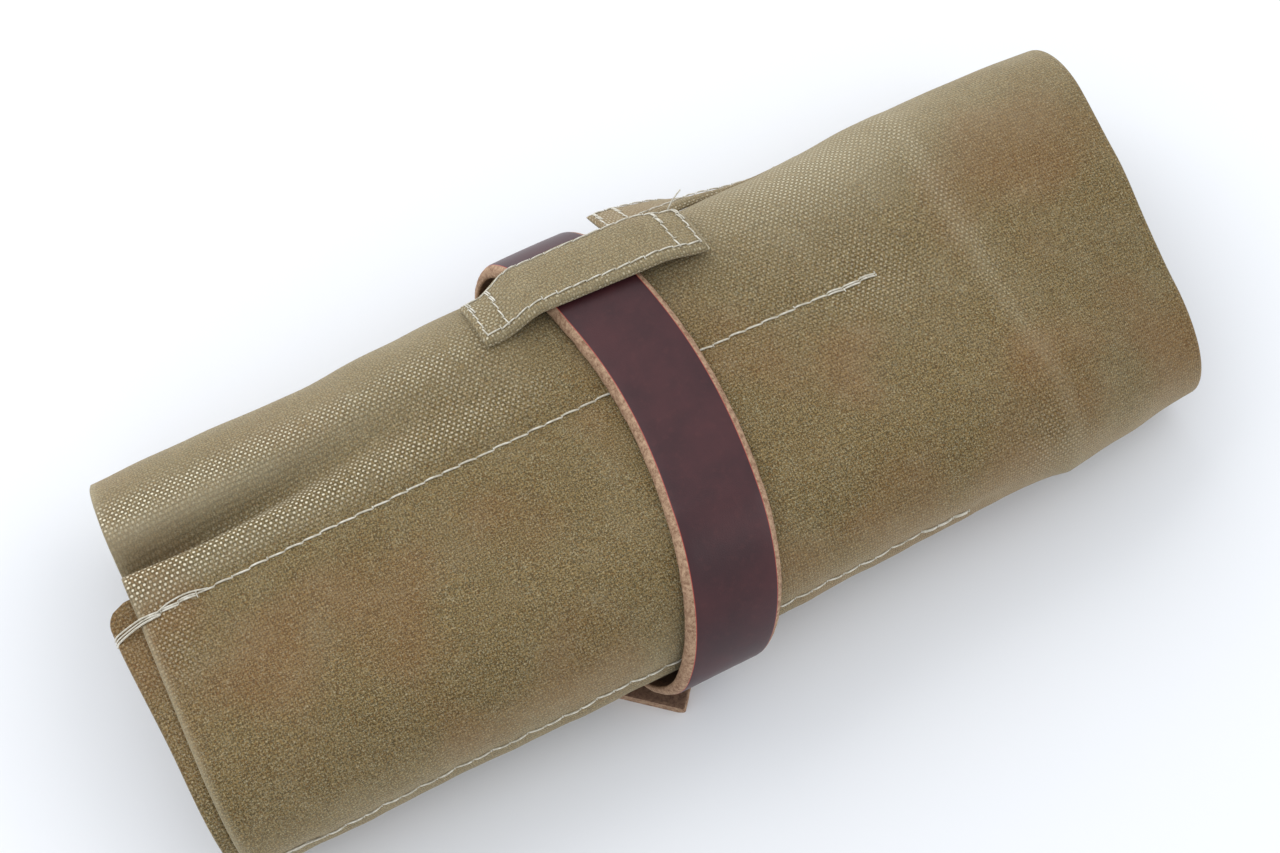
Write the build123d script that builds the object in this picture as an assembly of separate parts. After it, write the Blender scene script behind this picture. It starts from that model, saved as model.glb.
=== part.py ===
"""Carving tool roll: a spiral of waxed canvas with sewn pockets, closed by a leather strap.

X runs along the roll, +Y to its back, +Z up. The origin is the centre of the base.
Everything is first built about a section whose lowest turn is at z = 0, then lifted and
arched a little lengthwise, so that the roll rests on its two ends and clears the strap.
"""
from build123d import *
from math import cos, degrees, pi, radians, sin
import os

# ---- canvas ----
CANVAS = 1.3                 # thickness of one ply
PLY_GAP = 0.3                # air between two plies of one turn
PITCH = 5.0                  # distance from one turn to the next
SHEET_LENGTH = 770.0         # cut length of the shell, along the spiral
ROLL_LENGTH = 286.0          # shell, along X
PANEL_PROUD = 5.5            # how far the pocket panel stands out of the closed end
PANEL_MOUTH_X = 66.0         # open edge of the pockets
FLAP_EDGE_X = 90.0           # inner edge of the end that is turned in over the tool tips

# ---- roll section ----
FRONT_R = 23.5               # outermost front bend
BACK_R = 26.0                # outermost back bend
FRONT_Y = -36.0              # centre of the front bends
BACK_Y = 27.0                # centre of the back bends
FREE_EDGE_ANGLE = -45.0      # where the sheet ends, on the back bend, degrees from +Y
ARCH_RISE = 5.6              # how much higher the middle lies than the ends
REST_TRIM = 0.8              # flattened off the underside at both ends

# ---- stitched dividers ----
POCKET_WIDTH = 76.0
FIRST_SEAM = 85.0            # from the free edge: the closing flap has no pocket
SEAM_COUNT = 9
PANEL_MARGIN = 7.0           # panel edge past its first seam
EDGE_MARGIN = 4.0            # hem stitching, from the sheet's edges
THREAD_W, THREAD_H = 0.8, 0.35
THREAD_LIFT = 0.05
SEAM_START_X, SEAM_END_X = -142.0, 63.0

# ---- canvas keepers ----
KEEPER_LENGTH = 63.5
KEEPER_WIDTH = 19.5
KEEPER_THICK = 2.4           # folded double
KEEPER_FOOT = 7.5            # stitched down at each end
KEEPER_LIFT = 0.2            # from the bend's surface
KEEPER_RISE_RUN = 2.5
TOP_KEEPER_X, TOP_KEEPER_ANGLE = -5.0, 41.0      # centre, and lower edge on the back bend
BACK_KEEPER_X, BACK_KEEPER_ANGLE = 41.5, -14.0
TOP_KEEPER_HEIGHT = 4.4      # free height under the loop
BACK_KEEPER_HEIGHT = 3.0

# ---- leather strap ----
STRAP_WIDTH = 25.4
STRAP_THICK = 3.2
CLEARANCE = 0.8              # strap to canvas, so that it clears the thread
LAYER_GAP = 0.8              # tucked end to the tail beneath it
HINGE_GAP = 4.0              # left open between strap pieces, centred on the bend's axis
STRAP_FRONT_R = 28.0         # strap arching down in front of the roll
STRAP_SHOULDER = 110.0       # where it leaves the roll, degrees from +Y
STRAP_BACK_R = 36.0
STRAP_BACK_LEAVE = 50.0
HOOK_END_ANGLE = 258.0       # end tucked under the front, on its curl
TOP_CENTRE_X = -3.0          # strap's centre line where it is furthest to the right
FRONT_DRIFT, FRONT_SPAN = -25.0, 150.0
BACK_DRIFT = -12.0
CREST_Y = 0.0
TAIL_END = Vector(-37.8, -56.3)
TAIL_HEADING = 42.0          # degrees from -Y towards -X
UNDER_HEADING = 0.0
FRONT_HINGE_Y = -30.0
BACK_HINGE_ANGLE = 28.0
UNDER_HINGE_ANGLE = -72.0
STRAIGHT_ANGLE = -50.0       # from here on the strap comes down square to the roll
TAIL_LENGTH = 30.0

FRONT_Z = FRONT_R
BACK_Z = FRONT_R - PITCH / 2
UNDERSIDE_X = ROLL_LENGTH / 2
ARCH_R = UNDERSIDE_X ** 2 / (2 * (ARCH_RISE + REST_TRIM)) - FRONT_Z
ARCH_AXIS = Axis((0, 0, ARCH_RISE - ARCH_R), (0, 1, 0))


def arc_length(radius, a0, a1):
    return abs(radians(a1 - a0)) * radius


def spiral_pieces():
    """Outer face of the canvas, from its free edge inwards: arcs and straight runs."""
    pieces = [("arc", BACK_Y, BACK_Z, BACK_R, FREE_EDGE_ANGLE, 90.0)]
    used = arc_length(BACK_R, FREE_EDGE_ANGLE, 90.0)
    turn = 0
    while used < SHEET_LENGTH:
        front_r = FRONT_R - turn * PITCH
        back_r = BACK_R - (turn + 1) * PITCH
        top, bottom = FRONT_Z + front_r, FRONT_Z - front_r
        pieces += [("run", BACK_Y, FRONT_Y, top, -1),
                   ("arc", FRONT_Y, FRONT_Z, front_r, 90.0, 270.0),
                   ("run", FRONT_Y, BACK_Y, bottom, 1),
                   ("arc", BACK_Y, BACK_Z, back_r, -90.0, 90.0)]
        used += 2 * (BACK_Y - FRONT_Y) + pi * (front_r + back_r)
        turn += 1
    return pieces


def piece_edge(piece, start, end, depth):
    """Edge for the stretch start..end of one piece, set in by depth."""
    if piece[0] == "run":
        _, y0, _, z, way = piece
        z -= depth * -way
        return Line((0, y0 + way * start, z), (0, y0 + way * end, z))
    _, y, z, radius, a0, _ = piece
    angles = [radians(a0) + s / radius for s in (start, (start + end) / 2, end)]
    r = radius - depth
    return ThreePointArc(*[(0, y + r * cos(a), z + r * sin(a)) for a in angles])


def spiral_edges(s0, s1, depth):
    edges, position = [], 0.0
    for piece in spiral_pieces():
        if piece[0] == "run":
            length = abs(piece[2] - piece[1])
        else:
            length = arc_length(piece[3], piece[4], piece[5])
        start, end = max(s0 - position, 0), min(s1 - position, length)
        if end - start > 1e-6:
            edges.append(piece_edge(piece, start, end, depth))
        position += length
    return edges


def band(s0, s1, depth_out, depth_in, x0, x1):
    """Solid between two depths of the spiral, s0..s1 along it, arched from x0 to x1."""
    outer = spiral_edges(s0, s1, depth_out)
    inner = spiral_edges(s0, s1, depth_in)
    ends = [Line(outer[0] @ 0, inner[0] @ 0), Line(outer[-1] @ 1, inner[-1] @ 1)]
    face = Face(Wire(outer + inner + ends))
    mid_r = ARCH_R + FRONT_Z
    t0, t1 = degrees(x0 / mid_r), degrees(x1 / mid_r)
    lifted = face.moved(Location((0, 0, ARCH_RISE))).rotate(ARCH_AXIS, t0)
    return revolve(lifted, axis=ARCH_AXIS, revolution_arc=t1 - t0)


def above_floor(solid):
    size = 2 * ROLL_LENGTH
    return solid - Pos(0, 0, -size / 2) * Box(size, size, size)


def outer_shell():
    """The cloth that wraps the roll, with its right end turned in over the tool tips."""
    half = ROLL_LENGTH / 2
    fold_in = 2 * CANVAS + PLY_GAP
    ply = band(0, SHEET_LENGTH, 0, CANVAS, -half, half - CANVAS)
    fold = band(0, SHEET_LENGTH, 0, fold_in, half - CANVAS, half)
    flap = band(0, SHEET_LENGTH, CANVAS + PLY_GAP, fold_in, FLAP_EDGE_X, half - CANVAS)
    return above_floor(ply + fold + flap)


def pocket_panel():
    left = -ROLL_LENGTH / 2 - PANEL_PROUD
    first = FIRST_SEAM - PANEL_MARGIN
    depth = CANVAS + PLY_GAP
    return band(first, SHEET_LENGTH - 1, depth, depth + CANVAS, left, PANEL_MOUTH_X)


def stitch_line(s, x0, x1, plies, inner_x1=None):
    """Thread on the outer face and on the inner face of the cloth."""
    if inner_x1 is None:
        inner_x1 = x1
    s0, s1 = s - THREAD_W / 2, s + THREAD_W / 2
    inner = plies * CANVAS + (plies - 1) * PLY_GAP + THREAD_LIFT
    top = above_floor(band(s0, s1, -THREAD_LIFT - THREAD_H, -THREAD_LIFT, x0, x1))
    under = band(s0, s1, inner, inner + THREAD_H, x0, inner_x1)
    return Compound(top.solids() + under.solids())


def on_back_bend(shape, centre_x):
    """Move a shape made about X to the outermost back bend, at centre_x along the arch."""
    placed = shape.moved(Location((0, BACK_Y, BACK_Z + ARCH_RISE)))
    return placed.rotate(ARCH_AXIS, degrees(centre_x / (ARCH_R + FRONT_Z)))


def keeper(centre_x, low_angle, height):
    """Folded canvas loop that follows the back bend, with its two ends stitched down."""
    base, half = BACK_R + KEEPER_LIFT, KEEPER_LENGTH / 2
    foot = half - KEEPER_FOOT
    slope = foot - KEEPER_RISE_RUN
    t = KEEPER_THICK
    outline = [(-half, 0), (-foot, 0), (-slope, height), (slope, height), (foot, 0), (half, 0),
               (half, t), (foot + t / 2, t), (slope + t / 2, height + t),
               (-slope - t / 2, height + t), (-foot - t / 2, t), (-half, t)]
    face = Face(Wire.make_polygon([(x, base + r, 0) for x, r in outline]))
    sweep_angle = degrees(KEEPER_WIDTH / BACK_R)
    loop = revolve(Rotation(low_angle, 0, 0) * face, Axis.X, revolution_arc=sweep_angle)
    return on_back_bend(loop, centre_x)


def keeper_stitches(centre_x, low_angle):
    """Two cross rows of thread on each stitched-down end."""
    radius = BACK_R + KEEPER_LIFT + KEEPER_THICK + THREAD_LIFT
    sweep_angle = degrees(KEEPER_WIDTH / BACK_R) - 6
    rows = []
    for side in (-1, 1):
        for inset in (1.5, 6.0):
            x = side * (KEEPER_LENGTH / 2 - inset)
            bar = Face(Wire.make_polygon([(x - THREAD_H / 2, radius, 0), (x + THREAD_H / 2, radius, 0),
                                          (x + THREAD_H / 2, radius + THREAD_H, 0),
                                          (x - THREAD_H / 2, radius + THREAD_H, 0)]))
            rows.append(revolve(Rotation(low_angle + 3, 0, 0) * bar, Axis.X,
                                revolution_arc=sweep_angle))
    return Compound([on_back_bend(row, centre_x) for row in rows])


# ---- strap: the flesh face's path round the roll, seen along X ----
def strap_path():
    """Arcs (centre y, centre z, radius, angles) and a run, from the tucked end to the base."""
    front_z, back_z = FRONT_Z + ARCH_RISE, BACK_Z + ARCH_RISE
    shoulder_r, heel_r = FRONT_R + CLEARANCE, BACK_R + CLEARANCE
    lean = radians(STRAP_SHOULDER)
    front_y = FRONT_Y + (shoulder_r - STRAP_FRONT_R) * cos(lean)
    arch_z = front_z + (shoulder_r - STRAP_FRONT_R) * sin(lean)
    hook_z = 2 * STRAP_THICK + LAYER_GAP
    curl_r = arch_z - hook_z
    curl_y = front_y - STRAP_FRONT_R + curl_r
    leave = radians(STRAP_BACK_LEAVE)
    back_y = BACK_Y + (heel_r - STRAP_BACK_R) * cos(leave)
    drop_z = back_z + (heel_r - STRAP_BACK_R) * sin(leave)
    base_r = drop_z - STRAP_THICK
    base_y = back_y + STRAP_BACK_R - base_r
    return [("arc", curl_y, arch_z, curl_r, HOOK_END_ANGLE, 180.0),
            ("arc", front_y, arch_z, STRAP_FRONT_R, 180.0, STRAP_SHOULDER),
            ("arc", FRONT_Y, front_z, shoulder_r, STRAP_SHOULDER, 90.0),
            ("run", FRONT_Y, BACK_Y, front_z + shoulder_r, 1),
            ("arc", BACK_Y, back_z, heel_r, 90.0, STRAP_BACK_LEAVE),
            ("arc", back_y, drop_z, STRAP_BACK_R, STRAP_BACK_LEAVE, 0.0),
            ("arc", base_y, drop_z, base_r, 0.0, -90.0)]


def path_length(piece):
    if piece[0] == "run":
        return abs(piece[2] - piece[1])
    return arc_length(piece[3], piece[4], piece[5])


def path_point(s):
    """Point on the strap's flesh face and the outward normal there, x left at 0."""
    for piece in strap_path():
        length = path_length(piece)
        if s <= length + 1e-9:
            break
        s -= length
    if piece[0] == "run":
        _, y0, _, z, way = piece
        return Vector(0, y0 + way * s, z), Vector(0, 0, way)
    _, y, z, radius, a0, _ = piece
    a = radians(a0) - s / radius
    return Vector(0, y + radius * cos(a), z + radius * sin(a)), Vector(0, cos(a), sin(a))


def station(index, inside):
    """Path length at a place inside one piece of the strap's path."""
    return sum(path_length(p) for p in strap_path()[:index]) + inside


STRAP_END = station(7, 0)
CREST_S = station(3, CREST_Y - FRONT_Y)
FRONT_HINGE_S = station(3, FRONT_HINGE_Y - FRONT_Y)
BACK_HINGE_S = station(5, arc_length(STRAP_BACK_R, STRAP_BACK_LEAVE, BACK_HINGE_ANGLE))
BASE_R = strap_path()[6][3]
UNDER_HINGE_S = station(6, arc_length(BASE_R, 0.0, UNDER_HINGE_ANGLE))
STRAIGHT_S = station(6, arc_length(BASE_R, 0.0, STRAIGHT_ANGLE))


def drift(s):
    """X of the strap's centre line: from the crest both ways it leans to the left."""
    if s < CREST_S:
        return TOP_CENTRE_X + FRONT_DRIFT * (1 - cos(pi * (CREST_S - s) / FRONT_SPAN)) / 2
    fall = min(1, (s - CREST_S) / (STRAIGHT_S - CREST_S))
    return TOP_CENTRE_X + BACK_DRIFT * (1 - cos(pi * fall)) / 2


def girth_point(s):
    point, normal = path_point(min(max(s, 0), STRAP_END))
    return point + Vector(drift(s), 0, 0), normal


def girth_frame(s):
    """Point, outward normal, and the direction across the strap (towards +X)."""
    point, normal = girth_point(s)
    ahead = girth_point(min(s + 0.5, STRAP_END))[0]
    behind = girth_point(max(s - 0.5, 0))[0]
    along = (ahead - behind).normalized()
    across = along.cross(normal).normalized()
    return point, normal, across if across.X > 0 else across * -1


def table_curve(t):
    """Centre line on the table, from the back bend (t = 0) to the square end (t = 1)."""
    start = girth_point(STRAP_END)[0]
    end = Vector(TAIL_END.X, TAIL_END.Y, STRAP_THICK)
    reach = (end - start).length / 3
    h0, h1 = radians(UNDER_HEADING), radians(TAIL_HEADING)
    c0 = start + Vector(-sin(h0), -cos(h0), 0) * reach
    c1 = end - Vector(-sin(h1), -cos(h1), 0) * reach
    return (start * (1 - t) ** 3 + c0 * (3 * t * (1 - t) ** 2)
            + c1 * (3 * t * t * (1 - t)) + end * t ** 3)


def table_frame(t):
    point = table_curve(t)
    along = (table_curve(t + 0.01) - table_curve(t - 0.01)).normalized()
    return point, Vector(0, 0, -1), Vector(-along.Y, along.X, 0)


def ribbon(frames):
    """Strap solid through a list of (point, outward normal, across) frames."""
    sections = []
    for point, normal, across in frames:
        side, lift = across * (STRAP_WIDTH / 2), normal * STRAP_THICK
        corners = [point - side, point + side, point + side + lift, point - side + lift]
        sections.append(Face(Wire.make_polygon(corners)))
    return loft(sections, ruled=True)


def girth_strap(s0, s1, step=4.0):
    count = max(2, round((s1 - s0) / step))
    return ribbon([girth_frame(s0 + (s1 - s0) * i / count) for i in range(count + 1)])


def table_strap(t0, t1, count=8, start=()):
    return ribbon(list(start) + [table_frame(t0 + (t1 - t0) * i / count) for i in range(count + 1)])


def hinge_of(frame):
    point, normal, across = frame
    return point + normal * (STRAP_THICK / 2), across


def build():
    half_gap = HINGE_GAP / 2
    table_length = (table_curve(1) - table_curve(0)).length
    tail_t = 1 - TAIL_LENGTH / table_length
    gap_t = half_gap / table_length
    nodes = {
        "outer_shell": outer_shell(),
        "pocket_panel": pocket_panel(),
        "keeper_top": keeper(TOP_KEEPER_X, TOP_KEEPER_ANGLE, TOP_KEEPER_HEIGHT),
        "keeper_back": keeper(BACK_KEEPER_X, BACK_KEEPER_ANGLE, BACK_KEEPER_HEIGHT),
        "keeper_top_stitches": keeper_stitches(TOP_KEEPER_X, TOP_KEEPER_ANGLE),
        "keeper_back_stitches": keeper_stitches(BACK_KEEPER_X, BACK_KEEPER_ANGLE),
        "free_edge_stitches": stitch_line(EDGE_MARGIN, SEAM_START_X, -SEAM_START_X, 1,
                                          inner_x1=FLAP_EDGE_X - 1),
        "core_edge_stitches": stitch_line(SHEET_LENGTH - EDGE_MARGIN, SEAM_START_X, SEAM_END_X, 2),
        "strap_top": girth_strap(FRONT_HINGE_S + half_gap, BACK_HINGE_S - half_gap),
        "strap_front": girth_strap(0, FRONT_HINGE_S - half_gap),
        "strap_back": girth_strap(BACK_HINGE_S + half_gap, UNDER_HINGE_S - half_gap),
        "strap_under": table_strap(gap_t, tail_t - gap_t,
                                   start=[girth_frame(UNDER_HINGE_S + half_gap)]),
        "strap_tail": table_strap(tail_t + gap_t, 1),
    }
    for i in range(SEAM_COUNT):
        seam = stitch_line(FIRST_SEAM + i * POCKET_WIDTH, SEAM_START_X, SEAM_END_X, 2)
        nodes[f"divider_seam_{i + 1}"] = seam
    hinges = {
        "strap_front_bend": hinge_of(girth_frame(FRONT_HINGE_S)),
        "strap_back_bend": hinge_of(girth_frame(BACK_HINGE_S)),
        "strap_under_bend": hinge_of(girth_frame(UNDER_HINGE_S)),
        "strap_tail_bend": hinge_of(table_frame(tail_t)),
    }
    return nodes, hinges


def centred(nodes):
    """Shift that puts the origin under the middle of the whole roll."""
    boxes = [solid.bounding_box() for solid in nodes.values()]
    low = [min(tuple(box.min)[i] for box in boxes) for i in range(3)]
    high = [max(tuple(box.max)[i] for box in boxes) for i in range(3)]
    return Vector(-(low[0] + high[0]) / 2, -(low[1] + high[1]) / 2, -low[2])


NODES, HINGES = build()
SHIFT = centred(NODES)
os.makedirs("parts", exist_ok=True)
for name, solid in NODES.items():
    export_step(Pos(*SHIFT) * solid, f"parts/{name}.step")
print("shift to the base's centre:", SHIFT)
for name, (point, axis) in HINGES.items():
    print(name, point + SHIFT, axis)
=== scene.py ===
"""Looks of the carving tool roll: waxed canvas, thread and an oxblood leather strap."""
import bpy
import numpy as np
from math import cos, pi, radians, sin
from mathutils import Matrix, Vector, noise


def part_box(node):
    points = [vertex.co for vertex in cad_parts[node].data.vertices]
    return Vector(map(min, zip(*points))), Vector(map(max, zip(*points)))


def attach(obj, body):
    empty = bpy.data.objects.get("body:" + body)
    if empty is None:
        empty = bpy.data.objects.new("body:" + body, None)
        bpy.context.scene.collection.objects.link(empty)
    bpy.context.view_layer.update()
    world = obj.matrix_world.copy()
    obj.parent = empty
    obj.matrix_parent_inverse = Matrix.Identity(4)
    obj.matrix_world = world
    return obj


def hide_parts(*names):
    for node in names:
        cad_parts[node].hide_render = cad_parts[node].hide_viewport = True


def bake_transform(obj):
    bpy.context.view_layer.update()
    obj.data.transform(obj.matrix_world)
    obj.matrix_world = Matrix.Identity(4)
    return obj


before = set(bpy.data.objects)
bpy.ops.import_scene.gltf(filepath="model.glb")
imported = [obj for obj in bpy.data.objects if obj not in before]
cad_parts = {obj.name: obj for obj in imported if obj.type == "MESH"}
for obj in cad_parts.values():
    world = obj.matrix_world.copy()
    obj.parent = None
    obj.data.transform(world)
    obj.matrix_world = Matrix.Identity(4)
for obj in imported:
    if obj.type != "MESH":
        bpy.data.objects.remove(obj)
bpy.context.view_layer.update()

MM = 0.001


def box_mm(node):
    """A CAD node's two box corners, in mm."""
    return [np.array(corner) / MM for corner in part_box(node)]


# ---- the roll's section and length, from the frame (mm) ----
CANVAS = 1.3                     # one ply
PLY_GAP = 0.3
PITCH = 5.0                      # from one turn to the next
SHEET_LENGTH = 770.0
ARCH_RISE = 5.6                  # the middle lies this much higher than the ends
REST_TRIM = 0.8                  # flattened off the underside at both ends
SHELL_LOW, SHELL_HIGH = box_mm("outer_shell")
FRONT_R = (SHELL_HIGH[2] - ARCH_RISE) / 2
BACK_R = FRONT_R + PITCH / 2
FRONT_Y = SHELL_LOW[1] + FRONT_R
BACK_Y = SHELL_HIGH[1] - BACK_R
BACK_Z = FRONT_R - PITCH / 2
HALF = 143.0                     # half the roll's length
MID_X = (SHELL_LOW[0] + SHELL_HIGH[0]) / 2
MID_Y = (SHELL_LOW[1] + SHELL_HIGH[1]) / 2
FREE_EDGE_ANGLE = radians(-45)
ARCH_R = HALF ** 2 / (2 * (ARCH_RISE + REST_TRIM))

FIRST_SEAM, POCKET_WIDTH, SEAM_COUNT = 85.0, 76.0, 9
SEAMS = [FIRST_SEAM + POCKET_WIDTH * i for i in range(SEAM_COUNT)]
PANEL_START = FIRST_SEAM - 7.0
PANEL_MOUTH_X, FLAP_EDGE_X = 66.0, 90.0
OUTER_TURN = 276.0               # the first turn ends here, measured along the spiral
INNER_SETBACK = 9.0              # the inner turns' left edges lie this much further in


# ---------------------------------------------------------------- shape of the cloth
def smooth(a, b, value):
    """0 up to a, 1 from b on, with soft ends."""
    t = np.clip((value - a) / (b - a), 0, 1)
    return t * t * (3 - 2 * t)


def bell(value, centre, width):
    """1 at the centre, falling off to both sides."""
    return np.exp(-((value - centre) / width) ** 2)


def waves(x, y, seed, size):
    """Slow even undulation between -1 and 1 or so, the same each time."""
    rng = np.random.default_rng(seed)
    total = 0
    for _ in range(6):
        angle, phase = rng.uniform(0, 2 * pi, 2)
        k = 2 * pi / (size * rng.uniform(0.7, 1.6))
        total = total + np.sin(k * (x * cos(angle) + y * sin(angle)) + phase)
    return total / 3.2


def spiral_pieces():
    """Arcs (y, z, radius, first and last angle) and runs (from y, to y, z, way) from the free edge in."""
    pieces = [("arc", BACK_Y, BACK_Z, BACK_R, FREE_EDGE_ANGLE, pi / 2)]
    for turn in range(3):
        front_r, back_r = FRONT_R - turn * PITCH, BACK_R - (turn + 1) * PITCH
        pieces += [("run", BACK_Y, FRONT_Y, FRONT_R + front_r, -1),
                   ("arc", FRONT_Y, FRONT_R, front_r, pi / 2, 1.5 * pi),
                   ("run", FRONT_Y, BACK_Y, FRONT_R - front_r, 1),
                   ("arc", BACK_Y, BACK_Z, back_r, -pi / 2, pi / 2)]
    return pieces + [("run", BACK_Y, FRONT_Y, FRONT_R + FRONT_R - 3 * PITCH, -1)]


PIECES = spiral_pieces()


def spiral_at(s):
    """Outer face of the sheet at length s: place and outward normal in the section."""
    s = np.asarray(s, float)
    y, z, ny, nz = (np.zeros_like(s) for _ in range(4))
    start = 0.0
    for i, piece in enumerate(PIECES):
        arc = piece[0] == "arc"
        length = (piece[5] - piece[4]) * piece[3] if arc else abs(piece[2] - piece[1])
        first, last = i == 0, i == len(PIECES) - 1
        here = ((s >= start) | first) & ((s < start + length) | last)
        t = s[here] - start
        if arc:
            angle = piece[4] + t / piece[3]
            ny[here], nz[here] = np.cos(angle), np.sin(angle)
            y[here] = piece[1] + piece[3] * ny[here]
            z[here] = piece[2] + piece[3] * nz[here]
        else:
            y[here] = piece[1] + piece[4] * t
            z[here], nz[here] = piece[3], -piece[4]
        start += length
    return y, z, ny, nz


def relief(s, x):
    """How far the outer turn stands proud of the plain spiral, in mm."""
    outer = 1 - smooth(OUTER_TURN - 14, OUTER_TURN + 6, s)
    sewn = 1 - smooth(60, 80, x)
    under_strap = bell(x, -6, 17) * (1 - smooth(130, 150, s))
    height = 0.55 * waves(x, s, 4, 70) + 0.25 * waves(x, s, 9, 26)
    for k, seam in enumerate(SEAMS[:3]):
        pucker = 0.16 * np.sin(x * 2 * pi / 9.5 + k) * bell(s, seam, 7)
        height += (pucker - 0.75 * bell(s, seam, 3.2)) * sewn
    height += 0.5 * bell(x, FLAP_EDGE_X + 1.5 * np.sin(s / 21), 2.6) * smooth(20, 60, s)
    height -= 0.5 * bell(x, FLAP_EDGE_X - 14, 11) + 0.3 * bell(x, FLAP_EDGE_X + 13, 9)
    return outer * height * (1 - 0.8 * under_strap)


def warp(x, y, z):
    """From plain section coordinates to the row frame, all in mm."""
    rel = y - MID_Y
    ends = smooth(55, 140, np.abs(x))
    right, left = smooth(92, 146, x), 1 - smooth(-158, -28, x)
    back, front = smooth(-10, 50, rel), 1 - smooth(-50, 10, rel)
    swell = 3.0 * smooth(50, 85, x)
    along = x * (1 + (z - FRONT_R) / ARCH_R) - 1.5 * x / HALF
    along = along + 0.05 * rel * ends - 2.5 * front * right - 3.5 * bell(rel, -4, 30) * right
    middle = 23.0 + 0.8 * np.sin(x / 15)
    valley = bell(rel, middle, np.where(rel < middle, 2.4, 3.7) + 0.03 * (x + 143))
    ridge = 1.3 * bell(rel, 16.0, 3.6) + 1.2 * bell(rel, 31.5, 5)
    depth = left * (12.5 * left ** 0.3 * valley - ridge)
    z = z * (1 - right * (0.01 + 0.31 * front))
    z = z - depth * np.clip((z - 15) / (2 * FRONT_R - 15), 0, 1)
    bulge = 1.9 * bell(x, -30, 42) * (1 - smooth(22, 38, z))
    y = y + swell * back + front * (8.2 * right - bulge)
    return MID_X + along, y, z + ARCH_RISE * (1 - (x / HALF) ** 2)


def roll_point(s, x, depth):
    """Point of the rolled cloth at length s and x, depth mm under its outer face."""
    s, x, depth = np.broadcast_arrays(*(np.asarray(v, float) for v in (s, x, depth)))
    x = x + INNER_SETBACK * smooth(OUTER_TURN - 20, OUTER_TURN + 50, s) * (1 - smooth(-HALF, 20, x))
    y, z, ny, nz = spiral_at(s)
    out = relief(s, x) - depth
    return np.stack(warp(x, y + ny * out, z + nz * out), -1)


def roll_normal(s, x):
    """Unit normal, pointing out, of the cloth's outer face."""
    across = roll_point(s, np.asarray(x) + 0.5, 0) - roll_point(s, np.asarray(x) - 0.5, 0)
    along = roll_point(np.asarray(s) + 0.5, x, 0) - roll_point(np.asarray(s) - 0.5, x, 0)
    n = np.cross(along, across)
    return n / np.linalg.norm(n, axis=-1, keepdims=True)


# ---------------------------------------------------------------- meshes
def mesh_object(name, points, faces, uv=None, values=None):
    """Mesh from points in mm; uv in metres per vertex; values are float attributes."""
    mesh = bpy.data.meshes.new(name)
    mesh.from_pydata((np.asarray(points) * MM).tolist(), [], [list(map(int, f)) for f in faces])
    mesh.polygons.foreach_set("use_smooth", [True] * len(mesh.polygons))
    if uv is not None:
        loops = np.zeros(len(mesh.loops), int)
        mesh.loops.foreach_get("vertex_index", loops)
        layer = mesh.uv_layers.new(name="cloth")
        layer.data.foreach_set("uv", (np.asarray(uv)[loops] * MM).ravel())
    for key, value in (values or {}).items():
        attribute = mesh.attributes.new(key, "FLOAT", "POINT")
        attribute.data.foreach_set("value", np.asarray(value, np.float32).ravel())
    mesh.update()
    obj = bpy.data.objects.new(name, mesh)
    bpy.context.scene.collection.objects.link(obj)
    return obj


def grid_faces(rows, columns, start=0, flip=False, wrap=False):
    i, j = np.meshgrid(np.arange(rows - 1), np.arange(columns if wrap else columns - 1),
                       indexing="ij")
    i, j = i.ravel(), j.ravel()
    k = (j + 1) % columns
    quads = np.stack([i * columns + j, i * columns + k, (i + 1) * columns + k,
                      (i + 1) * columns + j], -1) + start
    return quads[:, ::-1] if flip else quads


def border(rows, columns):
    """Indices of a grid's border, in order round it."""
    top = [j for j in range(columns)]
    right = [i * columns + columns - 1 for i in range(1, rows)]
    bottom = [(rows - 1) * columns + j for j in range(columns - 2, -1, -1)]
    left = [i * columns for i in range(rows - 2, 0, -1)]
    return np.array(top + right + bottom + left)


INNER_SHARE = 0.3                # of the outer face's wear, wax bloom and painted light, on the inner face


def closed_sheet(name, outer, inner, uv, values=None, round_by=0.35):
    """Cloth with two faces, and a rim that is rounded a little all round."""
    rows, columns = outer.shape[:2]
    count = rows * columns
    out, back = outer.reshape(-1, 3), inner.reshape(-1, 3)
    edge = border(rows, columns)
    middle = (outer + inner) / 2
    flat = middle.reshape(-1, 3)
    i, j = edge // columns, edge % columns
    inward = flat[np.clip(i, 1, rows - 2) * columns + np.clip(j, 1, columns - 2)]
    direction = flat[edge] - inward
    direction /= np.linalg.norm(direction, axis=1, keepdims=True)
    thick = np.linalg.norm(out[edge] - back[edge], axis=1, keepdims=True)
    rim = flat[edge] + direction * thick * round_by
    points = np.concatenate([out, back, rim])
    n = len(edge)
    a, b = np.arange(n), (np.arange(n) + 1) % n
    outer_rim = np.stack([edge[b], edge[a], 2 * count + a, 2 * count + b], -1)
    inner_rim = np.stack([2 * count + b, 2 * count + a, count + edge[a], count + edge[b]], -1)
    faces = np.concatenate([grid_faces(rows, columns), grid_faces(rows, columns, count, True),
                            outer_rim, inner_rim])
    uv = uv.reshape(-1, 2)
    uv_all = np.concatenate([uv, uv, uv[edge]])
    spread = {k: np.concatenate([v.ravel(), v.ravel() * INNER_SHARE, v.ravel()[edge]])
              for k, v in (values or {}).items()}
    return mesh_object(name, points, faces, uv_all, spread)


def lengths(*stops):
    """Values from stop to stop; stops are (value, step up to the next value)."""
    out = []
    for (a, step), (b, _) in zip(stops, stops[1:]):
        count = max(1, round((b - a) / step))
        out += list(np.linspace(a, b, count, endpoint=False))
    return np.array(out + [stops[-1][0]])


# ---------------------------------------------------------------- materials
def tree_of(name):
    material = bpy.data.materials.new(name)
    material.use_nodes = True
    tree = material.node_tree
    tree.nodes.clear()
    return material, tree


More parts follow.
